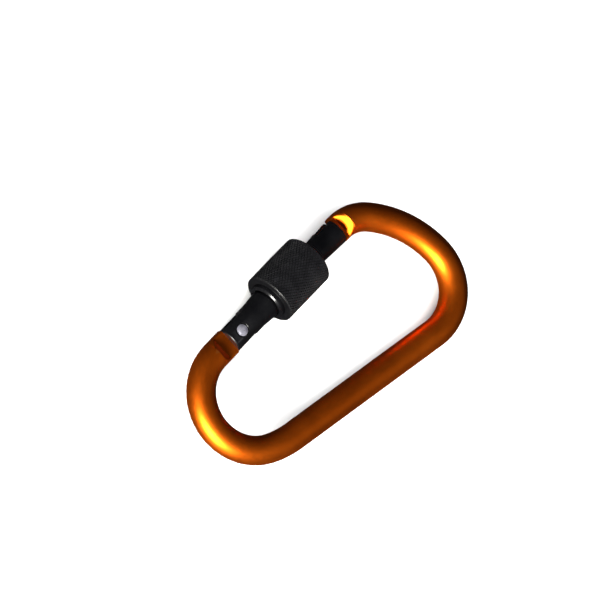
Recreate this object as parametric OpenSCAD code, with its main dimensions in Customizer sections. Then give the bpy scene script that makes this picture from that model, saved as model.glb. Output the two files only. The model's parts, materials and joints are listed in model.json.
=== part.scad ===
// D-shaped snap carabiner with a screw-lock sleeve, lying flat in the XY plane.
// The origin is the middle of the straight spine, on the axis of the rod. +X runs along the
// spine towards the wide end, +Y towards the gate, and +Z is square to the plane of the D.
// Lengths are in millimetres and angles in degrees.

/* [Overall] */
// Length over the two ends
overall_length = 80; // [72:1:100]
// Width from the back of the spine to the crown of the nose
overall_width = 39.6; // [34:0.5:50]
// Diameter of the bent rod
rod_d = 6.8; // [5.6:0.1:8.4]
// Angle between the gate and the spine
gate_angle = 9.3; // [5:0.1:13]

/* [Bends, measured on the axis of the rod] */
// Turn of the bend that leads from the spine into the wide end
wide_corner_turn = 102.6; // [96:0.2:108]
// Radius of the flatter crown across the wide end
crown_r = 26; // [18:0.5:32]
// Turn of that crown
crown_turn = 41.6; // [32:0.2:48]
// Radius of the bend at the nose
nose_bend_r = 10.2; // [7:0.1:13]
// Radius of the easy bend that leads from the spine into the narrow end
narrow_lead_r = 25.6; // [18:0.2:32]
// Turn of that easy bend
narrow_lead_turn = 15; // [8:1:22]

/* [Hinge] */
// Distance from the shoulder of the hinge tongue to the rivet
pivot_from_shoulder = 8; // [6.5:0.1:10]
// Thickness of the two milled tongues
tongue_t = 3; // [2.2:0.1:3.6]
// How far the hinge tongue lies below the rod's surface inside the fork
hinge_tongue_step = 0.4; // [0.3:0.05:0.6]
// Length of the fork beyond the rivet
fork_overhang = 3.4; // [2.6:0.1:4.2]
// Diameter of the rivet's shank
rivet_d = 2.2; // [1.6:0.1:2.4]
// Diameter of the rivet's domed heads
rivet_head_d = 2.7; // [2.4:0.1:3.2]
// Height of a domed head
rivet_head_h = 0.45; // [0.3:0.05:0.6]
// Diameter of the flat seat that is cut round each head
rivet_seat_d = 3.5; // [3.2:0.1:4]
// Depth of that seat below the rod's surface
rivet_seat_depth = 0.49; // [0.4:0.01:0.6]

/* [Gate] */
// How far the gate's surface lies inside the rod's
gate_step = 0.1; // [0.05:0.05:0.2]
// Distance from the rivet to the start of the rise to the stop collar
fork_length = 6.2; // [5:0.1:7]
// Depth of the neck, where the thread runs out, below the rod's surface
neck_depth = 0.45; // [0.3:0.05:0.6]
// How far the nose end of the gate lies below the rod's surface
nose_end_step = 0.05; // [0.05:0.05:0.15]
// Distance from the gate's nose end to the shoulder of the nose tongue
nose_gap = 3.1; // [2:0.1:4]
// How far the nose tongue reaches into the gate
nose_reach = 4.5; // [3:0.1:6]
// Thickness of the wall that closes the nose slot on its inner side and stops the gate
stop_wall = 1.2; // [0.9:0.1:1.5]
// How far the outer edge of the nose tongue lies below the rod's surface inside the gate
nose_tongue_step = 0.8; // [0.6:0.1:1.2]
// Distance that the nose shoulder lies beyond the end of the gate's straight line
nose_shoulder_past_bend = 1.8; // [0.8:0.1:2.4]

/* [Sleeve] */
// Outer diameter of the knurled sleeve
sleeve_d = 12.8; // [12:0.1:15]
// Length of the sleeve, boss and all
sleeve_length = 15.7; // [13:0.1:18]
// Chamfer at both ends of the knurled length
sleeve_chamfer = 0.4; // [0.2:0.1:1]
// Diameter of the smooth boss behind the knurled length
boss_d = 9.4; // [8.8:0.1:10.4]
// Length of the boss
boss_length = 1.4; // [0.8:0.1:2]
// Chamfer round the end of the boss
boss_chamfer = 0.4; // [0.2:0.1:0.5]
// Length of the sleeve's threaded ring
ring_length = 4; // [3:0.1:5]
// Distance from the rivet to the sleeve's rear end when it is screwed right back
sleeve_from_pivot = 10.2; // [9.6:0.1:12]
// Distance that the sleeve covers the nose shoulder by when it is screwed home
lock_cover = 0.6; // [0.3:0.1:1]
// Length of the stop collar behind the sleeve
collar_length = 1.3; // [0.8:0.1:2]
// Amount by which the collar stands above the thread, on the radius
collar_step = 0.1; // [0.08:0.01:0.2]
// Amount by which the thread stands above the fork, on the radius
thread_step = 0.15; // [0.1:0.05:0.3]

/* [Spring] */
// Diameter of the spring plunger
plunger_d = 2.2; // [1.8:0.1:2.4]
// Length of the plunger's guided part behind its round tip
plunger_guide = 2.4; // [1.8:0.1:3]
// Length of the thin tail inside the spring
plunger_tail = 2.8; // [2:0.1:4]
// Depth of the spring's bore from the floor of the hinge slot
bore_depth = 11.6; // [9:0.1:13]
// Diameter of the spring wire
wire_d = 0.4; // [0.3:0.05:0.5]
// Number of turns of the spring
spring_turns = 9; // [6:1:11]
// Depth of the cam below the end of the hinge tongue when the gate is shut
cam_depth = 0.8; // [0.6:0.05:1]
// Rise of the cam for a radian of the gate's swing
cam_rise = 1.4; // [1:0.1:1.8]

/* [Fits] */
// Gap between a tongue and each side of its slot
slot_clear = 0.06; // [0.04:0.01:0.15]
// Gap between the end of a tongue and the floor of its slot
slot_end_clear = 0.4; // [0.3:0.05:0.6]
// Radial gap round the rivet in the tongue
hinge_fit = 0.03; // [0.02:0.01:0.08]
// Radial gap round the rivet in the fork's cheeks
rivet_fit = 0.01; // [0.01:0.01:0.03]
// Radial gap between the sleeve's ring and the gate's thread
thread_fit = 0.05; // [0.03:0.01:0.1]
// Radial gap between the sleeve's bore and the rod, which allows for the bend at the nose
nose_fit = 0.55; // [0.45:0.05:0.8]
// Gap between the nose tongue and the wall that stops the gate
stop_clear = 0.05; // [0.03:0.01:0.1]
// Radial gap round the plunger and the spring in their bore
plunger_fit = 0.05; // [0.03:0.01:0.1]
// Gap between the plunger's tip and the cam
cam_clear = 0.04; // [0.03:0.01:0.08]

/* [Hidden] */
$fn = 64;

rod_r = rod_d / 2;

// Bends of the wide end, in order from the spine, each as [radius, turn]
axis_width = overall_width - rod_d;
nose_start = wide_corner_turn + crown_turn;
wide_corner_r = (axis_width - crown_r * (cos(wide_corner_turn) - cos(nose_start))
    - nose_bend_r * (1 + cos(nose_start))) / (1 - cos(wide_corner_turn));
wide_bends = [[wide_corner_r, wide_corner_turn], [crown_r, crown_turn],
    [nose_bend_r, 180 + gate_angle - nose_start]];

// Bends of the narrow end. Its main radius is the one that brings the end onto the gate's line.
axis_length = overall_length - rod_d;
narrow_turn = 180 - gate_angle - narrow_lead_turn;
function narrow_bends(r) = [[narrow_lead_r, narrow_lead_turn], [r, narrow_turn]];
function spine_for(r) = axis_length - wide_corner_r
    - narrow_lead_r * sin(narrow_lead_turn) - r * (1 - sin(narrow_lead_turn));
function miss(r) = cos(gate_angle) * (run(wide_bends).y - run(narrow_bends(r)).y)
    - sin(gate_angle) * (spine_for(r) + run(wide_bends).x + run(narrow_bends(r)).x);
narrow_r = miss(0) / (miss(0) - miss(1));
spine_length = spine_for(narrow_r);

// Displacement from the start of a chain of bends, which starts along +X, to its end
function run(bends, i = 0, h = 0) = i == len(bends) ? [0, 0]
    : bends[i][0] * [sin(h + bends[i][1]) - sin(h), cos(h) - cos(h + bends[i][1])]
    + run(bends, i + 1, h + bends[i][1]);

// Places along the gate's line, measured from the rivet
hinge_shoulder = [-spine_length / 2 - run(narrow_bends(narrow_r)).x, run(narrow_bends(narrow_r)).y];
nose_bend_start = [spine_length / 2 + run(wide_bends).x, run(wide_bends).y];
pivot = hinge_shoulder + pivot_from_shoulder * [cos(gate_angle), sin(gate_angle)];
nose_shoulder_x = norm(nose_bend_start - pivot) + nose_shoulder_past_bend;
gate_end_x = nose_shoulder_x - nose_gap;
nose_tongue_x = gate_end_x - nose_reach;
hinge_tongue_r = rod_r - hinge_tongue_step;
hinge_floor_x = hinge_tongue_r + slot_end_clear;
lock_travel = nose_shoulder_x + lock_cover - sleeve_length - sleeve_from_pivot;

// Gate
gate_d = rod_d - 2 * gate_step;
thread_d = gate_d + 2 * thread_step;
collar_d = thread_d + 2 * collar_step;
neck_d = rod_d - 2 * neck_depth;
nose_end_d = rod_d - 2 * nose_end_step;
collar_x = sleeve_from_pivot - collar_length;
collar_gap = 0.1;
thread_overrun = 0.4;
thread_end_x = sleeve_from_pivot + lock_travel + ring_length - thread_overrun;
edge_break = 0.3;
stop_wall_y = stop_wall - nose_end_d / 2;
slot_w = tongue_t + 2 * slot_clear;
seat_z = rod_r - rivet_seat_depth;

// Sleeve
ring_d = thread_d + 2 * thread_fit;
sleeve_bore_d = rod_d + 2 * nose_fit;
mouth_chamfer = 0.5;

// Spring and plunger
plunger_x = hinge_tongue_r - cam_depth + plunger_d / 2;
plunger_back_x = plunger_x + plunger_guide;
spring_bore_d = plunger_d + 2 * plunger_fit;
spring_end_x = hinge_floor_x + bore_depth;
drill_point = spring_bore_d / 3;
coil_inner_gap = 0.1;
tail_d = plunger_d - 2 * (plunger_fit + wire_d + coil_inner_gap);
coil_r = plunger_d / 2 - plunger_fit - wire_d / 2;
coil_gap = 0.05;
coil_sides = 6;
coil_steps = 14;

// Swing, in degrees, before shut where the cam's rise starts, and the swings between which it is cut
cam_dwell = 10;
cam_first = -28;
cam_last = 48;
cam_step = 4;

// Neighbouring lengths of the rod lap each other, and every second one is thinner by this step,
// so that each lap ends on a clean edge
join_step = 0.01;
join_lap = 0.1;
thin_rod_d = rod_d - 2 * join_step;

// Margin that a cut runs past a face
cut = 1;

// Moves its children from the gate's frame, with the rivet at its origin, to the part's
module at_gate() {
    translate([pivot.x, pivot.y, 0])
        rotate([0, 0, gate_angle])
            children();
}

// Round bar or cone along X, from x0 to x1, with end diameters d0 and d1
module bar_x(x0, x1, d0, d1) {
    translate([x0, 0, 0])
        rotate([0, 90, 0])
            cylinder(h = x1 - x0, d1 = d0, d2 = d1);
}

// Block along X, from x0 to x1, from y0 to y1 and centred on the plane of the D
module slab(x0, x1, y0, y1, t) {
    translate([x0, y0, -t / 2])
        cube([x1 - x0, y1 - y0, t]);
}

// Bend of the rod, starting at the origin along +X. A lapped one is thinner and runs on at both ends.
module bend(r, turn, lapped) {
    lap = lapped ? join_lap / r * 180 / PI : 0;
    translate([0, r, 0])
        rotate([0, 0, -90 - lap])
            rotate_extrude(angle = turn + 2 * lap, $fn = 192)
                translate([r, 0])
                    circle(d = lapped ? thin_rod_d : rod_d);
}

// Chain of bends of the rod, of which the first is lapped and then every second one
module bend_chain(bends, i = 0) {
    if (i < len(bends)) {
        bend(bends[i][0], bends[i][1], i % 2 == 0);
        end = run([bends[i]]);
        translate([end.x, end.y, 0])
            rotate([0, 0, bends[i][1]])
                bend_chain(bends, i + 1);
    }
}

// Spine and both ends, with the wide end still running round to the gate's line
module rod_blank() {
    bar_x(-spine_length / 2, spine_length / 2, rod_d, rod_d);
    translate([spine_length / 2, 0, 0])
        bend_chain(wide_bends);
    mirror([1, 0, 0])
        translate([spine_length / 2, 0, 0])
            bend_chain(narrow_bends(narrow_r));
}

// Path of the plunger's tip round the rivet, as seen from the tongue, less the tip's radius.
// The cam rises evenly with the swing, so the spring always pushes the gate shut.
function cam_point(swing) =
    let(reach = plunger_x + cam_rise * max(swing, -cam_dwell) * PI / 180)
    let(slope = atan(cam_rise / reach) * (swing > -cam_dwell ? 1 : 0))
    reach * [cos(swing), -sin(swing)]
    - (plunger_d / 2 + cam_clear) * [cos(swing - slope), -sin(swing - slope)];

module cam_cut() {
    far = 2 * hinge_tongue_r;
    linear_extrude(tongue_t + 2 * cut, center = true)
        polygon(concat([for (s = [cam_first : cam_step : cam_last]) cam_point(s)],
            [far * [cos(cam_last), -sin(cam_last)], far * [cos(cam_first), -sin(cam_first)]]));
}

// Milled tongue at the hinge: full width up to the fork, narrower inside it
module hinge_tongue() {
    root = -pivot_from_shoulder - join_lap;
    difference() {
        union() {
            intersection() {
                bar_x(root, -fork_overhang, thin_rod_d, thin_rod_d);
                slab(root, -fork_overhang, -rod_r, rod_r, tongue_t);
            }
            slab(-fork_overhang - join_lap, 0, -hinge_tongue_r, hinge_tongue_r, tongue_t);
            cylinder(h = tongue_t, r = hinge_tongue_r, center = true);
        }
        cylinder(h = tongue_t + 2 * cut, d = rivet_d + 2 * hinge_fit, center = true);
        cam_cut();
    }
}

// Milled tongue at the nose, which the gate closes over
module nose_tongue() {
    floor_y = stop_wall_y + stop_clear;
    root = nose_shoulder_x - nose_shoulder_past_bend;
    step_x = gate_end_x + slot_end_clear / 2;
    intersection() {
        bar_x(nose_tongue_x, root, rod_d, rod_d);
        union() {
            slab(nose_tongue_x, step_x, floor_y, rod_r - nose_tongue_step, tongue_t);
            slab(step_x, root, -rod_r, rod_r, tongue_t);
        }
    }
}

// Cheeks milled off the wide end's rod, up to the nose shoulder
module nose_cheek_cut() {
    for (side = [-1, 1])
        translate([0, 0, side * (tongue_t / 2 + rod_r)])
            slab(nose_tongue_x - cut, nose_shoulder_x, -2 * rod_r, 2 * rod_r, 2 * rod_r);
}

module bent_rod_body() {
    color([0.86, 0.42, 0.07]) {
        difference() {
            rod_blank();
            at_gate() nose_cheek_cut();
        }
        at_gate() hinge_tongue();
        at_gate() nose_tongue();
    }
}

// Outside of the gate: fork, rise to the stop collar, threaded length, neck and tapered nose
module gate_blank() {
    bar_x(-fork_overhang, -fork_overhang + edge_break, gate_d - 2 * edge_break, gate_d);
    bar_x(-fork_overhang + edge_break, fork_length, gate_d, gate_d);
    bar_x(fork_length, collar_x, gate_d, collar_d);
    bar_x(collar_x, sleeve_from_pivot - collar_gap, collar_d, collar_d);
    bar_x(sleeve_from_pivot - collar_gap, thread_end_x, thread_d, thread_d);
    bar_x(thread_end_x, gate_end_x - edge_break, neck_d, nose_end_d);
    bar_x(gate_end_x - edge_break, gate_end_x, nose_end_d, nose_end_d - 2 * edge_break);
}

module gate() {
    color([0.05, 0.05, 0.06])
        at_gate()
            difference() {
                gate_blank();
                slab(-fork_overhang - cut, hinge_floor_x, -rod_d, rod_d, slot_w);
                slab(nose_tongue_x - slot_end_clear, gate_end_x + cut, stop_wall_y, rod_d, slot_w);
                cylinder(h = 2 * rod_d, d = rivet_d + 2 * rivet_fit, center = true);
                for (side = [-1, 1])
                    translate([0, 0, side * (seat_z + rod_r)])
                        cylinder(h = 2 * rod_r, d = rivet_seat_d, center = true);
                bar_x(hinge_floor_x - cut, spring_end_x, spring_bore_d, spring_bore_d);
                bar_x(spring_end_x, spring_end_x + drill_point, spring_bore_d, 0);
            }
}

// Domed head of the rivet, standing on the plane z = 0
module rivet_head() {
    dome_r = (rivet_head_d * rivet_head_d / 4 + rivet_head_h * rivet_head_h) / (2 * rivet_head_h);
    intersection() {
        cylinder(h = rivet_head_h + cut, d = rivet_head_d);
        translate([0, 0, rivet_head_h - dome_r])
            sphere(r = dome_r);
    }
}

module hinge_rivet() {
    head_z = seat_z + rivet_fit;
    color([0.78, 0.78, 0.82])
        at_gate() {
            cylinder(h = 2 * head_z, d = rivet_d, center = true);
            for (side = [0, 1])
                mirror([0, 0, side])
                    translate([0, 0, head_z])
                        rivet_head();
        }
}

// Ring of points of the spring's wire at a place along the coil, from 0 to 1
function coil_ring(t, x0, x1) =
    let(turn = 360 * spring_turns * t)
    [for (k = [0 : coil_sides - 1])
        let(a = 360 * k / coil_sides)
        let(r = coil_r + wire_d / 2 * cos(a))
        [x0 + (x1 - x0) * t + wire_d / 2 * sin(a), r * cos(turn), r * sin(turn)]];

module closing_spring() {
    x0 = plunger_back_x + coil_gap + wire_d / 2;
    x1 = spring_end_x - coil_gap - wire_d / 2;
    rings = spring_turns * coil_steps;
    points = [for (i = [0 : rings]) each coil_ring(i / rings, x0, x1)];
    sides = [for (i = [0 : rings - 1], k = [0 : coil_sides - 1])
        let(next = (k + 1) % coil_sides)
        [i * coil_sides + k, (i + 1) * coil_sides + k, (i + 1) * coil_sides + next, i * coil_sides + next]];
    color([0.7, 0.7, 0.72])
        at_gate()
            polyhedron(points, concat(sides, [[for (k = [0 : coil_sides - 1]) k],
                [for (k = [coil_sides - 1 : -1 : 0]) rings * coil_sides + k]]));
}

module spring_plunger() {
    color([0.6, 0.6, 0.62])
        at_gate() {
            intersection() {
                translate([plunger_x, 0, 0])
                    sphere(d = plunger_d);
                bar_x(plunger_x - plunger_d, plunger_x, 2 * plunger_d, 2 * plunger_d);
            }
            bar_x(plunger_x, plunger_back_x, plunger_d, plunger_d);
            bar_x(plunger_back_x, plunger_back_x + plunger_tail, tail_d, tail_d);
        }
}

// Chamfered mouth of a bore that runs along +X from the origin, cut at 45 degrees
module mouth(bore_d) {
    bar_x(-mouth_chamfer, mouth_chamfer, bore_d + 4 * mouth_chamfer, bore_d);
}

module locking_sleeve() {
    back = sleeve_from_pivot;
    knurl = back + boss_length;
    front = back + sleeve_length;
    color([0.04, 0.04, 0.05])
        at_gate()
            difference() {
                union() {
                    bar_x(back, back + boss_chamfer, boss_d - 2 * boss_chamfer, boss_d);
                    bar_x(back + boss_chamfer, knurl, boss_d, boss_d);
                    bar_x(knurl, knurl + sleeve_chamfer, sleeve_d - 2 * sleeve_chamfer, sleeve_d);
                    bar_x(knurl + sleeve_chamfer, front - sleeve_chamfer, sleeve_d, sleeve_d);
                    bar_x(front - sleeve_chamfer, front, sleeve_d, sleeve_d - 2 * sleeve_chamfer);
                }
                bar_x(back - cut, back + ring_length + cut, ring_d, ring_d);
                bar_x(back + ring_length, front + cut, sleeve_bore_d, sleeve_bore_d);
                translate([back, 0, 0]) mouth(ring_d);
                translate([front, 0, 0]) mirror([1, 0, 0]) mouth(sleeve_bore_d);
            }
}

bent_rod_body();
gate();
hinge_rivet();
closing_spring();
spring_plunger();
locking_sleeve();
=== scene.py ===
import json
import math

import bmesh
import bpy
import numpy as np
from mathutils import Matrix, Vector


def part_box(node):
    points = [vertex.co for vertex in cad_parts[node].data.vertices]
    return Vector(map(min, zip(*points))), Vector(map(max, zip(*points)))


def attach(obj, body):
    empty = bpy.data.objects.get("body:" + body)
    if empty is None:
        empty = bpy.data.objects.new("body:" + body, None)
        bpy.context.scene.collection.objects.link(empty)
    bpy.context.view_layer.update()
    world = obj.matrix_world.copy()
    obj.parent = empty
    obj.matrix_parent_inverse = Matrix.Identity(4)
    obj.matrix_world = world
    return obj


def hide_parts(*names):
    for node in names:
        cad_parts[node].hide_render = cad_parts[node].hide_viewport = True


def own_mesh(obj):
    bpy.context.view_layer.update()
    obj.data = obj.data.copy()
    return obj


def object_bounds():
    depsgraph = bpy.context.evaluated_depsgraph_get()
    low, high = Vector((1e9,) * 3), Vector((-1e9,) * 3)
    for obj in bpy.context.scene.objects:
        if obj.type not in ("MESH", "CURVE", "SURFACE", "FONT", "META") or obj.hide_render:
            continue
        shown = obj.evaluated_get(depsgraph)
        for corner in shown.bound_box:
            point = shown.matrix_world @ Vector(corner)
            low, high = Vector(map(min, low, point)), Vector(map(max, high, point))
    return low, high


# Looks of a D-shaped snap carabiner with a screw-lock sleeve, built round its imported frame.
# Shapes are worked out in millimetres. The gate's frame has its origin on the rivet, +X along the
# gate towards the nose, +Y outwards and +Z square to the plane of the D.

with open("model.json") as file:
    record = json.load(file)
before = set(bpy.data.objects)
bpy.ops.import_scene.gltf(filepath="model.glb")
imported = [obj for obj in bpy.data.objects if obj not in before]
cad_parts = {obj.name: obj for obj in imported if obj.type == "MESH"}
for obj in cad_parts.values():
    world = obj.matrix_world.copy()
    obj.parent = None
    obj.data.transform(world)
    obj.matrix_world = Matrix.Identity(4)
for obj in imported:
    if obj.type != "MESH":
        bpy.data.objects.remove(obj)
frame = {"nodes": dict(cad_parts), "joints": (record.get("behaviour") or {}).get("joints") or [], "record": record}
cad_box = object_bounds()

MM = 0.001
RNG = np.random.default_rng(11)

# ---------------------------------------------------------------- sizes read from the frame

JOINTS = {joint["name"]: joint for joint in frame["joints"]}
PIVOT = Vector(JOINTS["gate_swing"]["pos_m"])
ALONG = Vector(JOINTS["sleeve_travel"]["axis"]).normalized()
GATE_ANGLE = math.atan2(ALONG.y, ALONG.x)
PART_FRAME = Matrix.Diagonal((MM, MM, MM, 1))
GATE_FRAME = Matrix.Translation(PIVOT) @ Matrix.Rotation(GATE_ANGLE, 4, "Z") @ PART_FRAME
CAM_RISE = frame["record"]["behaviour"]["couplings"][0]["ratio"] / MM


def in_gate_frame(node):
    """Vertices of a CAD node in the gate's frame, in millimetres."""
    to_gate = np.array(GATE_FRAME.inverted())
    points = np.array([v.co for v in frame["nodes"][node].data.vertices])
    return points @ to_gate[:3, :3].T + to_gate[:3, 3]


def box_mm(node):
    low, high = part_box(node)
    return low / MM, high / MM


BODY_LOW, BODY_HIGH = box_mm("bent_rod_body")
GATE_CAD = in_gate_frame("gate")
SLEEVE_CAD = in_gate_frame("locking_sleeve")
PLUNGER_CAD = in_gate_frame("spring_plunger")
SPRING_CAD = in_gate_frame("closing_spring")

ROD_R = BODY_HIGH.z
FORK_X = GATE_CAD[:, 0].min()
GATE_END_X = GATE_CAD[:, 0].max()
SLEEVE_X0 = SLEEVE_CAD[:, 0].min()
SLEEVE_X1 = SLEEVE_CAD[:, 0].max()
SLEEVE_R = SLEEVE_CAD[:, 2].max()

# ---------------------------------------------------------------- design sizes, in millimetres

# Bends of the rod's centreline
WIDE_CORNER_TURN = math.radians(102.6)
CROWN_R = 26.0
CROWN_TURN = math.radians(41.6)
NOSE_BEND_R = 10.2
NARROW_LEAD_R = 25.6
NARROW_LEAD_TURN = math.radians(15)

# Tongues at the rod's ends, the ramp behind each and the slots that they lie in
TONGUE_T = 3.0
TONGUE_CORNER = 0.15
CHEEK_RUN = 1.8
CHEEK_TOP = 3.0
HINGE_SHOULDER_X = -8.0
HINGE_TONGUE_R = 3.0
NOSE_SHOULDER_PAST_BEND = 1.8
NOSE_REACH = 4.5
NOSE_END_GAP = 0.2
NOSE_FLOOR_Y = -2.1
NOSE_TOP_Y = 2.4
HINGE_TOP_Y = 2.4
STOP_WALL_Y = -2.15
SLOT_W = 3.12
SLOT_FLOOR_X = 3.4
SLOT_CORNER = 0.2
NOSE_SLOT_GAP = 0.4

# Rivet and the seats for its heads
RIVET_R = 1.1
RIVET_HEAD_R = 1.35
RIVET_HEAD_H = 0.45
SEAT_R = 1.75
SEAT_Z = 2.91
SEAT_EDGE = 0.08

# Turned outline of the gate
GATE_R = 3.3
COLLAR_R = 3.55
THREAD_R = 3.45
THREAD_DEPTH = 0.34
THREAD_PITCH = 0.9
FORK_END_X = 6.2
COLLAR_LENGTH = 1.3
NECK_R0 = 2.95
NECK_R1 = 3.35
GATE_END_EDGE = 0.35

# Sleeve: its threaded ring, travel, boss and knurl
RING_LENGTH = 4.0
THREAD_OVERRUN = 0.4
LOCK_TRAVEL = 13.69
BOSS_R = 4.7
BOSS_LENGTH = 1.4
BOSS_CHAMFER = 0.4
RING_BORE_R = 3.5
SLEEVE_BORE_R = 3.95
KNURLS_ROUND = 52
KNURL_PITCH = 1.15
KNURL_DEPTH = 0.18
KNURL_INSET = 0.34
KNURL_WEAR = 0.025

# Spring, plunger and the cam that pushes the plunger back
SPRING_BORE_R = 1.15
SPRING_BORE_END_X = 15.0
WIRE_R = 0.2
COIL_R = 0.85
SPRING_TURNS = 9
PLUNGER_TAIL_R = 0.55
PLUNGER_TAIL_LENGTH = 2.8
CAM_GAP = 0.04
CAM_START = math.radians(-10)

# Rounding of a shoulder's edge
EDGE = 0.12


# ---------------------------------------------------------------- mesh helpers

def make_object(name, vertices, faces, matrix, sharp_angle=32):
    """A mesh object whose coordinates are carried into the row frame by matrix."""
    mesh = bpy.data.meshes.new(name)
    mesh.from_pydata([tuple(v) for v in vertices], [], faces)
    mesh.transform(matrix)
    mesh.validate()
    mesh.update()
    piece = bpy.data.objects.new(name, mesh)
    bpy.context.scene.collection.objects.link(piece)
    smooth(piece, sharp_angle)
    return piece


def smooth(piece, sharp_angle=32):
    mesh = piece.data
    mesh.polygons.foreach_set("use_smooth", [True] * len(mesh.polygons))
    mesh.set_sharp_from_angle(angle=math.radians(sharp_angle))


def grid_faces(rows, columns, closed_rows=False):
    """Quads over rows of points, each row a closed loop; closed_rows joins the last row to the first."""
    faces = []
    for i in range(rows if closed_rows else rows - 1):
        a = i * columns
        b = (i + 1) % rows * columns
        for k in range(columns):
            n = (k + 1) % columns
            faces.append((a + k, b + k, b + n, a + n))
    return faces


def tube(name, rings, matrix, sharp_angle=32):
    """A closed solid over rings of points, with a flat cap at both ends."""
    columns = len(rings[0])
    faces = grid_faces(len(rings), columns)
    last = (len(rings) - 1) * columns
    faces.append(tuple(range(columns)))
    faces.append(tuple(last + k for k in reversed(range(columns))))
    piece = make_object(name, np.concatenate(rings), faces, matrix, sharp_angle)
    clean(piece, sharp_angle)
    return piece


def clean(piece, sharp_angle=32):
    """Welds doubled points, drops what has collapsed and turns every face outwards."""
    work = bmesh.new()
    work.from_mesh(piece.data)
    bmesh.ops.remove_doubles(work, verts=work.verts, dist=2e-7)
    bmesh.ops.dissolve_degenerate(work, edges=work.edges, dist=1e-7)
    bmesh.ops.recalc_face_normals(work, faces=work.faces)
    work.to_mesh(piece.data)
    work.free()
    smooth(piece, sharp_angle)


def turned(name, profile, matrix, axis="x", sides=128, closed=False, sharp_angle=32):
    """Turns (along, radius) points round an axis. A closed profile is a ring, an open one a solid."""
    angles = np.linspace(0, 2 * math.pi, sides, endpoint=False)
    rings = []
    for along, radius in profile:
        circle = [np.full(sides, along), radius * np.cos(angles), radius * np.sin(angles)]
        if axis == "z":
            circle = [circle[1], circle[2], circle[0]]
        rings.append(np.stack(circle, axis=1))
    if not closed:
        return tube(name, rings, matrix, sharp_angle)
    faces = grid_faces(len(rings), sides, closed_rows=True)
    piece = make_object(name, np.concatenate(rings), faces, matrix, sharp_angle)
    clean(piece, sharp_angle)
    return piece


def rounded(points, radius, steps=4):
    """Rounds the inner corners of an open (along, radius) profile."""
    result = [points[0]]
    for before, corner, after in zip(points, points[1:], points[2:]):
        corner = np.array(corner, float)
        back = np.array(before, float) - corner
        on = np.array(after, float) - corner
        reach = min(radius, 0.45 * np.linalg.norm(back), 0.45 * np.linalg.norm(on))
        start = corner + back / np.linalg.norm(back) * reach
        end = corner + on / np.linalg.norm(on) * reach
        for t in np.linspace(0, 1, steps + 1):
            result.append(tuple((1 - t) ** 2 * start + 2 * t * (1 - t) * corner + t * t * end))
    result.append(points[-1])
    return result


def block(name, low, high, matrix, corner=0.0):
    """A block from its lowest to its highest corner, with its edges rounded."""
    work = bmesh.new()
    bmesh.ops.create_cube(work, size=1)
    low = Vector(low)
    high = Vector(high)
    for v in work.verts:
        v.co = Vector(low[i] + (v.co[i] + 0.5) * (high[i] - low[i]) for i in range(3))
    if corner:
        bmesh.ops.bevel(
            work, geom=work.edges[:], offset=corner, segments=4, affect="EDGES", profile=0.5)
    mesh = bpy.data.meshes.new(name)
    work.to_mesh(mesh)
    work.free()
    mesh.transform(matrix)
    piece = bpy.data.objects.new(name, mesh)
    bpy.context.scene.collection.objects.link(piece)
    return piece


def combine(piece, others, operation, sharp_angle=32):
    """Applies boolean operations to a piece and removes the other solids."""
    for other in others:
        modifier = piece.modifiers.new("cut", "BOOLEAN")
        modifier.object = other
        modifier.operation = operation
        modifier.solver = "MANIFOLD"
        graph = bpy.context.evaluated_depsgraph_get()
        result = bpy.data.meshes.new_from_object(piece.evaluated_get(graph))
        piece.modifiers.clear()
        old = piece.data
        piece.data = result
        bpy.data.meshes.remove(old)
        bpy.data.objects.remove(other)
    clean(piece, sharp_angle)
    return piece


def least(values, limit, blend):
    """The smaller of values and limit, with a rounded change-over."""
    h = np.clip((blend - np.abs(values - limit)) / blend, 0, 1)
    return np.minimum(values, limit) - h * h * blend / 4


def clamp(values, low, high, blend):
    return -least(-least(values, high, blend), -low, blend)


# ---------------------------------------------------------------- the rod's centreline

def run(bends):
    """Displacement over a chain of (radius, turn) bends that starts along +X."""
    x = y = heading = 0.0
    for radius, turn in bends:
        x += radius * (math.sin(heading + turn) - math.sin(heading))
        y += radius * (math.cos(heading) - math.cos(heading + turn))
        heading += turn
    return x, y


def rod_bends():
    """Spine length and the bends of the wide and the narrow end, as (radius, turn)."""
    axis_length = BODY_HIGH.x - BODY_LOW.x - 2 * ROD_R
    axis_width = BODY_HIGH.y - BODY_LOW.y - 2 * ROD_R
    nose_start = WIDE_CORNER_TURN + CROWN_TURN
    wide_corner_r = (
        axis_width - CROWN_R * (math.cos(WIDE_CORNER_TURN) - math.cos(nose_start))
        - NOSE_BEND_R * (1 + math.cos(nose_start))) / (1 - math.cos(WIDE_CORNER_TURN))
    wide = [(wide_corner_r, WIDE_CORNER_TURN), (CROWN_R, CROWN_TURN),
            (NOSE_BEND_R, math.pi + GATE_ANGLE - nose_start)]
    narrow_turn = math.pi - GATE_ANGLE - NARROW_LEAD_TURN

    def narrow(radius):
        return [(NARROW_LEAD_R, NARROW_LEAD_TURN), (radius, narrow_turn)]

    def spine(radius):
        return (axis_length - wide_corner_r - NARROW_LEAD_R * math.sin(NARROW_LEAD_TURN)
                - radius * (1 - math.sin(NARROW_LEAD_TURN)))

    def miss(radius):
        wide_x, wide_y = run(wide)
        narrow_x, narrow_y = run(narrow(radius))
        return (math.cos(GATE_ANGLE) * (wide_y - narrow_y)
                - math.sin(GATE_ANGLE) * (spine(radius) + wide_x + narrow_x))

    narrow_r = miss(0) / (miss(0) - miss(1))
    return spine(narrow_r), wide, narrow(narrow_r)


SPINE, WIDE_BENDS, NARROW_BENDS = rod_bends()
SPINE_STATIONS = 40
STATION_STEP = 0.6
BLEND_TURN = math.radians(25)


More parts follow.
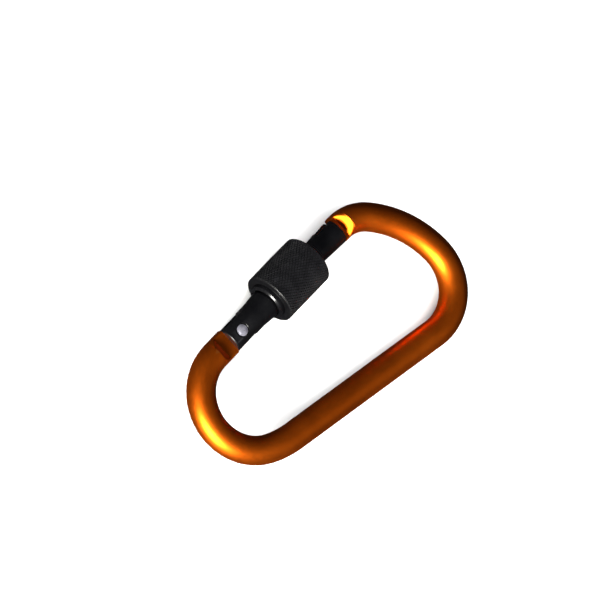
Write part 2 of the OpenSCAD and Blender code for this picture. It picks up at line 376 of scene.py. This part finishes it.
def bend_stations(start, heading, radius, turn, skipped=0.0):
    """Stations ((x, y), heading) along a bend to the left, less its skipped last turn, and its end."""
    x, y = start
    reach = turn - skipped
    count = max(2, int(math.ceil(radius * reach / STATION_STEP)))
    stations = []
    for i in range(count):
        a = reach * i / count
        stations.append((
            (x + radius * (math.sin(heading + a) - math.sin(heading)),
             y + radius * (math.cos(heading) - math.cos(heading + a))), heading + a))
    end = (x + radius * (math.sin(heading + turn) - math.sin(heading)),
           y + radius * (math.cos(heading) - math.cos(heading + turn)))
    return stations, end, heading + turn


# ---------------------------------------------------------------- bent rod body

RING_SIDES = 112
RING_ANGLES = np.linspace(0, 2 * math.pi, RING_SIDES, endpoint=False)
TONGUE_BLEND = 0.26


def section(half_t=None, low=-ROD_R, high=ROD_R, shrink=0.0):
    """(outward, z) points of the rod's section, thinned to half_t and cut at low and high.

    shrink draws in what stands above the tongue's thickness, to round a shoulder's edge.
    """
    out = ROD_R * np.cos(RING_ANGLES)
    up = ROD_R * np.sin(RING_ANGLES)
    if shrink:
        above = np.clip((np.abs(up) - TONGUE_T / 2) / 0.3, 0, 1)
        out = out * (1 - shrink / ROD_R * above)
        up = up * (1 - shrink / ROD_R * above)
    if half_t is not None:
        up = clamp(up, -half_t, half_t, TONGUE_BLEND)
    if low > -ROD_R or high < ROD_R:
        out = clamp(out, low, high, min(0.2, (high - low) / 2))
    return out, up


def shoulder_profile():
    """Steps up a tongue's flat ramp and the upright face above it, as (advance, half_t, shrink)."""
    half = TONGUE_T / 2
    steps = []
    for share in np.linspace(0, 1, 8):
        steps.append((CHEEK_RUN * (share - 1) - 0.02, half + (CHEEK_TOP - half) * share, 0.0))
    for a in (0.0, 0.4, 0.8, 1.2):
        steps.append((EDGE * math.sin(a), None, EDGE * (1 - math.sin(a))))
    steps.append((EDGE, None, 0.0))
    return steps


def gate_ring(x, ring):
    """Points of a section that is square to the gate's line."""
    out, up = ring
    return np.stack([np.full(RING_SIDES, x), out, up], axis=1)


def to_part(points):
    """Points in the gate's frame carried into the part's frame, in millimetres."""
    c = math.cos(GATE_ANGLE)
    s = math.sin(GATE_ANGLE)
    x = PIVOT.x / MM + c * points[:, 0] - s * points[:, 1]
    y = PIVOT.y / MM + s * points[:, 0] + c * points[:, 1]
    return np.stack([x, y, points[:, 2]], axis=1)


def nose_x(part_point):
    """How far along the gate's line a point of the part's frame lies."""
    rel = Vector((part_point[0] - PIVOT.x / MM, part_point[1] - PIVOT.y / MM, 0))
    return rel.dot(ALONG)


def hinge_rings():
    """From the round end of the hinge tongue to the full rod behind its shoulder."""
    rings = []
    half = TONGUE_T / 2
    for a in np.linspace(math.pi / 2, 0, 22):
        half_y = HINGE_TONGUE_R * math.cos(a)
        ring = section(half, -half_y, min(half_y, HINGE_TOP_Y))
        rings.append(gate_ring(HINGE_TONGUE_R * math.sin(a), ring))
    for x in (-1.2, -2.4, FORK_X + EDGE):
        rings.append(gate_ring(x, section(half, -HINGE_TONGUE_R, HINGE_TOP_Y)))
    for share in (0.0, 0.5):
        low = -HINGE_TONGUE_R - share * (ROD_R - HINGE_TONGUE_R)
        high = HINGE_TOP_Y + share * (ROD_R - HINGE_TOP_Y)
        rings.append(gate_ring(FORK_X, section(half, low, high)))
    for x in np.linspace(FORK_X - 0.02, HINGE_SHOULDER_X + CHEEK_RUN + 0.1, 8):
        rings.append(gate_ring(x, section(half)))
    for advance, half_t, shrink in shoulder_profile():
        rings.append(gate_ring(HINGE_SHOULDER_X - advance, section(half_t, shrink=shrink)))
    return [to_part(ring) for ring in rings]


def nose_rings(bend_end_x):
    """From the full rod in the nose bend, over the nose shoulder, to the end of the nose tongue."""
    half = TONGUE_T / 2
    shoulder_x = bend_end_x + NOSE_SHOULDER_PAST_BEND
    step_x = GATE_END_X + NOSE_END_GAP
    tongue_x = GATE_END_X - NOSE_REACH

    def placed(x, ring, mix=0.0):
        out, up = ring
        turn = np.arcsin(np.clip((x - bend_end_x) / (NOSE_BEND_R + out), -1, 1))
        turn = (1 - mix) * turn + mix * BLEND_TURN
        bent_x = bend_end_x + (NOSE_BEND_R + out) * np.sin(turn)
        bent_y = -NOSE_BEND_R + (NOSE_BEND_R + out) * np.cos(turn)
        straight = (x <= bend_end_x) and mix == 0
        return np.stack([np.full(RING_SIDES, x) if straight else bent_x,
                         out if straight else bent_y, up], axis=1)

    rings = []
    for mix in (1.0, 0.8, 0.6, 0.4, 0.2):
        rings.append(placed(shoulder_x + EDGE, section(), mix))
    for advance, half_t, shrink in reversed(shoulder_profile()):
        rings.append(placed(shoulder_x + advance, section(half_t, shrink=shrink)))
    for x in np.linspace(shoulder_x - CHEEK_RUN - 0.1, step_x + 0.1, 6):
        rings.append(placed(x, section(half)))
    for share in (1.0, 0.5, 0.0):
        low = NOSE_FLOOR_Y - share * (ROD_R + NOSE_FLOOR_Y)
        high = NOSE_TOP_Y + share * (ROD_R - NOSE_TOP_Y)
        rings.append(placed(step_x, section(half, low, high)))
    for x in np.linspace(step_x - 0.3, tongue_x + TONGUE_CORNER, 7):
        rings.append(placed(x, section(half, NOSE_FLOOR_Y, NOSE_TOP_Y)))
    for a in np.linspace(0.3, math.pi / 2, 4):
        inset = TONGUE_CORNER * (1 - math.cos(a))
        ring = section(half - inset, NOSE_FLOOR_Y + inset, NOSE_TOP_Y - inset)
        rings.append(placed(tongue_x + TONGUE_CORNER * (1 - math.sin(a)), ring))
    return [to_part(ring) for ring in rings]


def swept_rings():
    """Rings of the rod from behind the hinge shoulder round to the blend in the nose bend."""
    narrow_x, narrow_y = run(NARROW_BENDS)
    position = (-SPINE / 2 - narrow_x, narrow_y)
    heading = math.pi + GATE_ANGLE
    stations = []
    for radius, turn in reversed(NARROW_BENDS):
        part, position, heading = bend_stations(position, heading, radius, turn)
        stations += part
    for i in range(SPINE_STATIONS):
        stations.append(((position[0] + SPINE * i / SPINE_STATIONS, position[1]), 2 * math.pi))
    position = (SPINE / 2, 0.0)
    heading = 0.0
    for radius, turn in WIDE_BENDS:
        skipped = BLEND_TURN if radius == NOSE_BEND_R else 0.0
        part, position, heading = bend_stations(position, heading, radius, turn, skipped)
        stations += part
    out, up = section()
    rings = []
    for (x, y), angle in stations[1:]:
        # The outer side of the D lies to the right of the way round
        rings.append(np.stack([x + out * math.sin(angle), y - out * math.cos(angle), up], axis=1))
    return rings, nose_x(position)


def cam_point(swing):
    """Path of the plunger's tip round the rivet, less the tip's radius, as seen from the tongue."""
    tip_r = PLUNGER_CAD[:, 2].max()
    reach = PLUNGER_CAD[:, 0].min() + tip_r + CAM_RISE * max(swing, CAM_START)
    slope = math.atan(CAM_RISE / reach) if swing > CAM_START else 0.0
    gap = tip_r + CAM_GAP
    return (reach * math.cos(swing) - gap * math.cos(swing - slope),
            -reach * math.sin(swing) + gap * math.sin(swing - slope))


def cam_cutter():
    """Prism that cuts the plunger's cam into the end of the hinge tongue."""
    swings = [math.radians(a) for a in range(-28, 49, 2)]
    far = 2 * HINGE_TONGUE_R
    outline = [cam_point(s) for s in swings]
    outline += [(far * math.cos(s), -far * math.sin(s)) for s in (swings[-1], swings[0])]
    count = len(outline)
    points = [(x, y, z) for z in (-2.5, 2.5) for x, y in outline]
    faces = [(k, (k + 1) % count, count + (k + 1) % count, count + k) for k in range(count)]
    faces.append(tuple(reversed(range(count))))
    faces.append(tuple(range(count, 2 * count)))
    piece = make_object("cam_cutter", points, faces, GATE_FRAME)
    clean(piece)
    return piece


def build_body():
    swept, bend_end_x = swept_rings()
    rings = hinge_rings() + swept + nose_rings(bend_end_x)
    piece = tube("bent_rod_body_piece", rings, PART_FRAME)
    hole = turned("hole", [(-4, RIVET_R + 0.03), (4, RIVET_R + 0.03)], GATE_FRAME, axis="z", sides=64)
    combine(piece, [hole, cam_cutter()], "DIFFERENCE")
    return piece


# ---------------------------------------------------------------- gate

def thread_height(x, angle, start, end):
    """Depth of a rounded screw thread below its crest, fading out at both ends."""
    phase = (x / THREAD_PITCH - angle / (2 * math.pi)) % 1.0
    tooth = np.clip(1.7 * (1 - np.abs(2 * phase - 1)) - 0.35, 0, 1)
    tooth = tooth * tooth * (3 - 2 * tooth)
    fade = np.clip(min((x - start), (end - x)) / (0.8 * THREAD_PITCH), 0, 1)
    return THREAD_DEPTH * (1 - tooth) * fade


def gate_profile():
    """(along, radius) points of the gate's outline, and where its thread starts and ends."""
    collar_end = SLEEVE_X0 - 0.1
    thread_end = SLEEVE_X0 + LOCK_TRAVEL + RING_LENGTH - THREAD_OVERRUN
    outline = [
        (FORK_X, GATE_R - 0.24), (FORK_X + 0.2, GATE_R), (FORK_END_X, GATE_R),
        (collar_end - COLLAR_LENGTH + 0.1, COLLAR_R), (collar_end, COLLAR_R),
        (collar_end + 0.12, THREAD_R - 0.1)]
    profile = rounded(outline, 0.2)
    thread_start = collar_end + 0.14
    count = int((thread_end - thread_start) / 0.075)
    threaded = [(x, THREAD_R) for x in np.linspace(thread_start, thread_end, count)]
    tail = rounded([
        (thread_end + 0.02, THREAD_R - 0.05), (thread_end + 0.32, NECK_R0),
        (thread_end + 0.9, NECK_R0 + 0.03), (GATE_END_X - GATE_END_EDGE, NECK_R1),
        (GATE_END_X, NECK_R1 - GATE_END_EDGE)], 0.18)
    return profile, threaded, tail, thread_start, thread_end


def build_gate():
    sides = 144
    angles = np.linspace(0, 2 * math.pi, sides, endpoint=False)
    head, threaded, tail, start, end = gate_profile()
    rings = []
    for kind, points in (("plain", head), ("thread", threaded), ("plain", tail)):
        for x, radius in points:
            r = np.full(sides, radius)
            if kind == "thread":
                r = r - thread_height(x, angles, start, end)
            rings.append(np.stack([np.full(sides, x), r * np.cos(angles), r * np.sin(angles)], axis=1))
    piece = tube("gate_piece", rings, GATE_FRAME)
    hinge_slot = block(
        "hinge_slot", (FORK_X - 2, -8, -SLOT_W / 2), (SLOT_FLOOR_X, 8, SLOT_W / 2),
        GATE_FRAME, SLOT_CORNER)
    nose_slot = block(
        "nose_slot", (GATE_END_X - NOSE_REACH - NOSE_SLOT_GAP, STOP_WALL_Y, -SLOT_W / 2),
        (GATE_END_X + 3, 8, SLOT_W / 2), GATE_FRAME, SLOT_CORNER)
    bore_profile = [
        (SLOT_FLOOR_X - 1, SPRING_BORE_R), (SPRING_BORE_END_X, SPRING_BORE_R),
        (SPRING_BORE_END_X + 0.7, 0.02)]
    bore = turned("bore", bore_profile, GATE_FRAME, sides=48)
    hole = turned("hole", [(-4, RIVET_R + 0.01), (4, RIVET_R + 0.01)], GATE_FRAME, axis="z", sides=64)
    seats = []
    for side in (-1, 1):
        seat_profile = [
            (side * (SEAT_Z + 3), SEAT_R), (side * (SEAT_Z + SEAT_EDGE), SEAT_R),
            (side * SEAT_Z, SEAT_R - SEAT_EDGE)]
        seats.append(turned("seat", seat_profile, GATE_FRAME, axis="z", sides=64))
    combine(piece, [hinge_slot, nose_slot, bore, hole] + seats, "DIFFERENCE")
    return piece


# ---------------------------------------------------------------- rivet, spring and plunger

def build_rivet():
    """A shank with a domed head at both ends, each with a light dimple."""
    head_z = SEAT_Z + 0.01
    dome = []
    for share in np.linspace(1, 0, 14):
        r = RIVET_HEAD_R * share
        z = head_z + RIVET_HEAD_H * (1 - share ** 2.4) - 0.05 * math.exp(-(share / 0.35) ** 2)
        dome.append((z, max(r, 0.01)))
    upper = [(head_z, RIVET_R), (head_z, RIVET_HEAD_R - 0.03), (head_z + 0.04, RIVET_HEAD_R)] + dome[1:]
    lower = [(-z, r) for z, r in reversed(upper)]
    return turned("hinge_rivet_piece", lower + upper, GATE_FRAME, axis="z", sides=64)


def build_spring():
    """A round wire wound into an open coil whose last turn at each end lies closed."""
    x0 = SPRING_CAD[:, 0].min() + WIRE_R
    x1 = SPRING_CAD[:, 0].max() - WIRE_R
    steps = SPRING_TURNS * 30
    wire_sides = 14
    rings = []
    for i in range(steps + 1):
        t = i / steps
        turn = 2 * math.pi * SPRING_TURNS * t
        ease = t - 0.035 * math.sin(2 * math.pi * t)
        x = x0 + (x1 - x0) * ease
        a = np.linspace(0, 2 * math.pi, wire_sides, endpoint=False)
        r = COIL_R + 0.98 * WIRE_R * np.cos(a)
        across = x + 0.98 * WIRE_R * np.sin(a)
        rings.append(np.stack([across, r * math.cos(turn), r * math.sin(turn)], axis=1))
    return tube("closing_spring_piece", rings, GATE_FRAME, 60)


def build_plunger():
    tip_x = PLUNGER_CAD[:, 0].min()
    end_x = PLUNGER_CAD[:, 0].max()
    r = PLUNGER_CAD[:, 2].max()
    guide_x = end_x - PLUNGER_TAIL_LENGTH
    tip = []
    for a in np.linspace(0, math.pi / 2, 12):
        tip.append((tip_x + r * (1 - math.cos(a)), max(r * math.sin(a), 0.01)))
    outline = [
        tip[-1], (guide_x, r), (guide_x, PLUNGER_TAIL_R), (end_x, PLUNGER_TAIL_R), (end_x, 0.01)]
    body = rounded(outline, 0.12)
    return turned("spring_plunger_piece", tip[:-1] + body, GATE_FRAME, sides=48)


# ---------------------------------------------------------------- sleeve

def knurl_solid(x0, x1):
    """Solid bar whose side is a diamond knurl of flat-topped pyramids."""
    half_rows = int(math.ceil((x1 - x0) / (KNURL_PITCH / 2))) + 2
    step = 2 * math.pi / KNURLS_ROUND
    root = SLEEVE_R - KNURL_DEPTH
    inset = KNURL_INSET
    points = []
    faces = []

    def place(row, column, r):
        x = x0 + row * KNURL_PITCH / 2
        a = column * step
        points.append((x, r * math.cos(a), r * math.sin(a)))
        return len(points) - 1

    corner = {}
    for row in range(half_rows):
        for k in range(KNURLS_ROUND):
            corner[row, k] = place(row, k + 0.5 * (row % 2), root)

    def at(row, half_column):
        """Grid corner of a row at a place round the bar counted in half steps."""
        return corner[row, ((half_column - row % 2) // 2) % KNURLS_ROUND]

    for row in range(1, half_rows - 1):
        for k in range(KNURLS_ROUND):
            centre = 2 * k + (row + 1) % 2
            left = at(row, centre - 1)
            right = at(row, centre + 1)
            back = at(row - 1, centre)
            front = at(row + 1, centre)
            middle = centre / 2
            crest = SLEEVE_R - RNG.uniform(0, KNURL_WEAR)
            top = [
                place(row - 1 + inset, middle, crest),
                place(row, middle + (1 - inset) / 2, crest),
                place(row + 1 - inset, middle, crest),
                place(row, middle - (1 - inset) / 2, crest)]
            base = [back, right, front, left]
            faces.append(tuple(top))
            for i in range(4):
                j = (i + 1) % 4
                faces.append((base[i], base[j], top[j], top[i]))
    for k in range(KNURLS_ROUND):
        # Flat half diamonds square off both ends
        first = 2 * k
        faces.append((at(0, first), at(0, first + 2), at(1, first + 1)))
        last = half_rows - 1
        odd = last % 2
        faces.append((at(last, first + odd), at(last - 1, first + odd + 1), at(last, first + odd + 2)))
    faces.append(tuple(at(0, 2 * k) for k in reversed(range(KNURLS_ROUND))))
    last = half_rows - 1
    faces.append(tuple(at(last, 2 * k + last % 2) for k in range(KNURLS_ROUND)))
    piece = make_object("knurl_solid", points, faces, GATE_FRAME)
    clean(piece, 12)
    return piece


def build_sleeve():
    x0 = SLEEVE_X0
    x1 = SLEEVE_X1
    knurl_x = x0 + BOSS_LENGTH
    ring_x = x0 + RING_LENGTH
    outline = [
        (x0, RING_BORE_R + 0.5), (x0, BOSS_R - BOSS_CHAMFER), (x0 + BOSS_CHAMFER, BOSS_R),
        (knurl_x, BOSS_R), (knurl_x, SLEEVE_R - 0.2), (knurl_x + 0.25, SLEEVE_R + 0.05),
        (x1 - 0.4, SLEEVE_R + 0.05), (x1, SLEEVE_R - 0.35),
        (x1, SLEEVE_BORE_R + 0.5), (x1 - 0.5, SLEEVE_BORE_R), (ring_x, SLEEVE_BORE_R),
        (ring_x, RING_BORE_R + 0.01), (x0 + 0.5, RING_BORE_R + 0.01)]
    looped = rounded(outline[-1:] + outline + outline[:1], 0.1)[1:-1]
    tube_piece = turned("locking_sleeve_piece", looped, GATE_FRAME, sides=184, closed=True)
    knurl = knurl_solid(x0 - 1.0, x1 + 1.0)
    combine(tube_piece, [knurl], "INTERSECT", 14)
    return tube_piece


# ---------------------------------------------------------------- materials

class Shader:
    """A principled material and short calls for the nodes that feed it."""

    def __init__(self, name, **inputs):
        self.material = bpy.data.materials.new(name)
        self.material.use_nodes = True
        self.nodes = self.material.node_tree.nodes
        self.links = self.material.node_tree.links
        self.shader = self.nodes["Principled BSDF"]
        for key, value in inputs.items():
            self.shader.inputs[key.replace("_", " ")].default_value = value
        self.place = self.nodes.new("ShaderNodeTexCoord").outputs["Object"]

    def link(self, source, target):
        self.links.new(source, target)
        return source

    def stretched(self, scale, turn=0.0):
        """Object coordinates turned about Z and scaled by axis."""
        mapping = self.nodes.new("ShaderNodeMapping")
        mapping.vector_type = "POINT"
        mapping.inputs["Scale"].default_value = scale
        turned_first = self.nodes.new("ShaderNodeVectorRotate")
        turned_first.rotation_type = "Z_AXIS"
        turned_first.inputs["Angle"].default_value = turn
        self.link(self.place, turned_first.inputs["Vector"])
        self.link(turned_first.outputs["Vector"], mapping.inputs["Vector"])
        return mapping.outputs["Vector"]

    def noise(self, vector, scale, detail=3.0, roughness=0.55):
        node = self.nodes.new("ShaderNodeTexNoise")
        node.inputs["Scale"].default_value = scale
        node.inputs["Detail"].default_value = detail
        node.inputs["Roughness"].default_value = roughness
        self.link(vector, node.inputs["Vector"])
        return node.outputs["Fac"]

    def spread(self, source, low, high, start=0.3, end=0.7):
        """Maps source from start..end onto low..high."""
        node = self.nodes.new("ShaderNodeMapRange")
        node.inputs["From Min"].default_value = start
        node.inputs["From Max"].default_value = end
        node.inputs["To Min"].default_value = low
        node.inputs["To Max"].default_value = high
        self.link(source, node.inputs["Value"])
        return node.outputs["Result"]

    def mixed(self, factor, a, b):
        node = self.nodes.new("ShaderNodeMix")
        node.data_type = "RGBA"
        self.link(factor, node.inputs["Factor"])
        for value, socket in ((a, node.inputs["A"]), (b, node.inputs["B"])):
            if isinstance(value, tuple):
                socket.default_value = (*value, 1)
            else:
                self.link(value, socket)
        return node.outputs["Result"]

    def maths(self, operation, a, b):
        node = self.nodes.new("ShaderNodeMath")
        node.operation = operation
        for value, socket in ((a, node.inputs[0]), (b, node.inputs[1])):
            if isinstance(value, (int, float)):
                socket.default_value = value
            else:
                self.link(value, socket)
        return node.outputs["Value"]

    def along_gate(self, start, end):
        """0 before start and 1 after end, in millimetres from the rivet along the gate."""
        node = self.nodes.new("ShaderNodeVectorMath")
        node.operation = "DOT_PRODUCT"
        node.inputs[1].default_value = ALONG
        self.link(self.place, node.inputs[0])
        origin = PIVOT.dot(ALONG)
        return self.spread(node.outputs["Value"], 0.0, 1.0, origin + start * MM, origin + end * MM)

    def edges(self, start, end):
        """1 on convex edges, 0 on flats and in hollows."""
        geometry = self.nodes.new("ShaderNodeNewGeometry")
        return self.spread(geometry.outputs["Pointiness"], 0.0, 1.0, start, end)

    def bump(self, heights, distance, strength=1.0):
        node = self.nodes.new("ShaderNodeBump")
        node.inputs["Strength"].default_value = strength
        node.inputs["Distance"].default_value = distance
        self.link(heights, node.inputs["Height"])
        self.link(node.outputs["Normal"], self.shader.inputs["Normal"])

    def colour(self, source):
        self.link(source, self.shader.inputs["Base Color"])

    def roughness(self, source):
        self.link(source, self.shader.inputs["Roughness"])


def orange_anodised():
    """Satin aluminium under a deep orange dye, with paler edges and a fine etched grain."""
    m = Shader("orange_anodised", Metallic=1.0)
    cloud = m.noise(m.place, 90, 4)
    fine = m.noise(m.place, 1500, 3)
    base = m.mixed(m.spread(cloud, 0, 1), (0.82, 0.145, 0.007), (0.90, 0.175, 0.010))
    worn = m.maths("MULTIPLY", m.edges(0.53, 0.60), m.spread(m.noise(m.place, 420, 4), 0.15, 0.8))
    m.colour(m.mixed(worn, base, (0.93, 0.30, 0.06)))
    m.roughness(m.maths("ADD", m.spread(cloud, 0.42, 0.48), m.spread(fine, -0.02, 0.03)))
    m.bump(m.maths("ADD", m.noise(m.place, 2600, 4), m.maths("MULTIPLY", cloud, 1.5)), 2.2e-5, 0.35)
    return m.material


def black_anodised():
    """Black dyed aluminium with faint turning marks and greyer edges."""
    m = Shader("black_anodised", Metallic=0.0, Specular_IOR_Level=0.32, IOR=1.42)
    along = m.stretched((9000, 60, 60), -GATE_ANGLE)
    rings = m.noise(along, 1.0, 2)
    cloud = m.noise(m.place, 260, 4)
    worn = m.maths("MULTIPLY", m.edges(0.53, 0.62), m.spread(cloud, 0.1, 0.9))
    base = m.mixed(m.spread(cloud, 0, 1), (0.0015, 0.0015, 0.002), (0.003, 0.003, 0.0035))
    m.colour(m.mixed(worn, base, (0.02, 0.02, 0.022)))
    m.roughness(m.maths("ADD", m.spread(cloud, 0.30, 0.40), m.spread(rings, -0.03, 0.05)))
    m.bump(m.maths("ADD", rings, m.noise(m.place, 3000, 3)), 1.6e-5, 0.3)
    return m.material


def black_knurled():
    """Black dyed knurling whose crests are rubbed to a soft grey."""
    m = Shader("black_knurled", Metallic=0.0, Specular_IOR_Level=0.42, IOR=1.42)
    cloud = m.noise(m.place, 350, 4)
    rubbed = m.maths("MULTIPLY", m.edges(0.50, 0.60), m.spread(cloud, 0.2, 0.9))
    base = m.mixed(m.spread(cloud, 0, 1), (0.0015, 0.0015, 0.002), (0.003, 0.003, 0.0035))
    m.colour(m.mixed(rubbed, base, (0.014, 0.014, 0.016)))
    # The boss is turned and smooth, and the knurled length is matt
    knurled = m.along_gate(SLEEVE_X0 + BOSS_LENGTH - 0.1, SLEEVE_X0 + BOSS_LENGTH + 0.1)
    m.roughness(m.maths("ADD", m.spread(cloud, 0.20, 0.26), m.maths("MULTIPLY", knurled, 0.22)))
    m.bump(m.noise(m.place, 3200, 4), 2.0e-5, 0.35)
    return m.material


def bright_rivet():
    """Bright aluminium, finely pitted."""
    m = Shader("bright_rivet", Metallic=0.88)
    cloud = m.noise(m.place, 900, 4)
    m.colour(m.mixed(m.spread(cloud, 0, 1), (0.80, 0.79, 0.90), (0.62, 0.60, 0.74)))
    m.roughness(m.spread(m.noise(m.place, 1800, 3), 0.26, 0.42))
    m.bump(m.noise(m.place, 2400, 4), 3.0e-5, 0.4)
    return m.material


def spring_steel():
    """Drawn steel with fine marks across it."""
    m = Shader("spring_steel", Metallic=1.0)
    cloud = m.noise(m.place, 700, 3)
    m.colour(m.mixed(m.spread(cloud, 0, 1), (0.50, 0.50, 0.53), (0.62, 0.60, 0.58)))
    m.roughness(m.spread(cloud, 0.25, 0.4))
    m.bump(m.noise(m.stretched((5000, 900, 900), -GATE_ANGLE), 1.0, 2), 1.2e-5, 0.3)
    return m.material


# ---------------------------------------------------------------- the pieces on their bodies

def mount(piece, body, node, material):
    piece.data.materials.clear()
    piece.data.materials.append(material)
    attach(piece, body)
    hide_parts(node)


def shorten_with_swing(spring):
    """Gives the spring a mesh of its own."""
    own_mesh(spring)


mount(build_body(), "body", "bent_rod_body", orange_anodised())
mount(build_gate(), "gate", "gate", black_anodised())
mount(build_rivet(), "gate", "hinge_rivet", bright_rivet())
STEEL = spring_steel()
SPRING = build_spring()
mount(SPRING, "gate", "closing_spring", STEEL)
shorten_with_swing(SPRING)
mount(build_plunger(), "plunger", "spring_plunger", STEEL)
mount(build_sleeve(), "sleeve", "locking_sleeve", black_knurled())


# ---------------------------------------------------------------- floor, light and camera

CAMERA_RIGHT = Vector((0.7238, -0.5525, 0.4133)).normalized()
CAMERA_BACK = Vector((-0.4523, 0.0725, 0.8889)).normalized()
CAMERA_UP = CAMERA_BACK.cross(CAMERA_RIGHT).normalized()
KEY_FROM = (-0.911, -0.168, 0.377)
FILL_FROM = (0.3, -0.6, 0.65)
CAMERA_DISTANCE = 1.5
SHOWN_WIDTH = 0.13743
FLOOR_REACH = 3.0
FLOOR_GAP = 0.0002


def look_along(obj, place, right, up, back):
    obj.matrix_world = Matrix.Translation(place) @ Matrix((right, up, back)).transposed().to_4x4()


def add_camera():
    data = bpy.data.cameras.new("camera")
    camera = bpy.data.objects.new("camera", data)
    bpy.context.scene.collection.objects.link(camera)
    target = -0.014746 * CAMERA_RIGHT + 0.019267 * CAMERA_UP
    data.sensor_width = 36
    data.lens = data.sensor_width * CAMERA_DISTANCE / SHOWN_WIDTH
    data.clip_start = 0.05
    data.clip_end = 20
    place = target + CAMERA_DISTANCE * CAMERA_BACK
    look_along(camera, place, CAMERA_RIGHT, CAMERA_UP, CAMERA_BACK)
    bpy.context.scene.camera = camera


def area_light(name, direction, distance, size, power, colour=(1, 1, 1), glossy=True):
    data = bpy.data.lights.new(name, "AREA")
    data.shape = "SQUARE"
    data.size = size
    data.energy = power
    data.color = colour
    light = bpy.data.objects.new(name, data)
    bpy.context.scene.collection.objects.link(light)
    direction = Vector(direction).normalized()
    right = Vector((0, 0, 1)).cross(direction)
    right = right.normalized() if right.length > 1e-3 else Vector((1, 0, 0))
    look_along(light, distance * direction, right, direction.cross(right), direction)
    light.visible_camera = False
    light.visible_glossy = glossy


def plain_material(name, colour, roughness):
    m = Shader(name, Roughness=roughness, Base_Color=(*colour, 1), Specular_IOR_Level=0.1)
    return m.material


def add_floor():
    """A wide pale floor just under the part, which metal doesn't mirror."""
    z = cad_box[0].z - FLOOR_GAP
    corners = [
        (-FLOOR_REACH, -FLOOR_REACH, z), (FLOOR_REACH, -FLOOR_REACH, z),
        (FLOOR_REACH, FLOOR_REACH, z), (-FLOOR_REACH, FLOOR_REACH, z)]
    floor = make_object("floor", corners, [(0, 1, 2, 3)], Matrix.Identity(4))
    floor.data.materials.append(plain_material("floor", (0.93, 0.93, 0.93), 0.9))
    floor.visible_glossy = False


def add_world():
    world = bpy.data.worlds.new("studio")
    bpy.context.scene.world = world
    world.use_nodes = True
    background = world.node_tree.nodes["Background"]
    background.inputs["Color"].default_value = (0.97, 0.98, 1.0, 1)
    background.inputs["Strength"].default_value = 0.03


add_camera()
add_floor()
add_world()
area_light("key", KEY_FROM, distance=1.0, size=0.36, power=38.0, colour=(1.0, 0.99, 0.93))
area_light("fill", FILL_FROM, distance=1.2, size=1.0, power=0.55, colour=(1.0, 0.98, 0.96))
area_light("floor_light", (0, 0, 1), distance=2.0, size=2.4, power=90.0, glossy=False)
bpy.context.scene.view_settings.view_transform = "Standard"
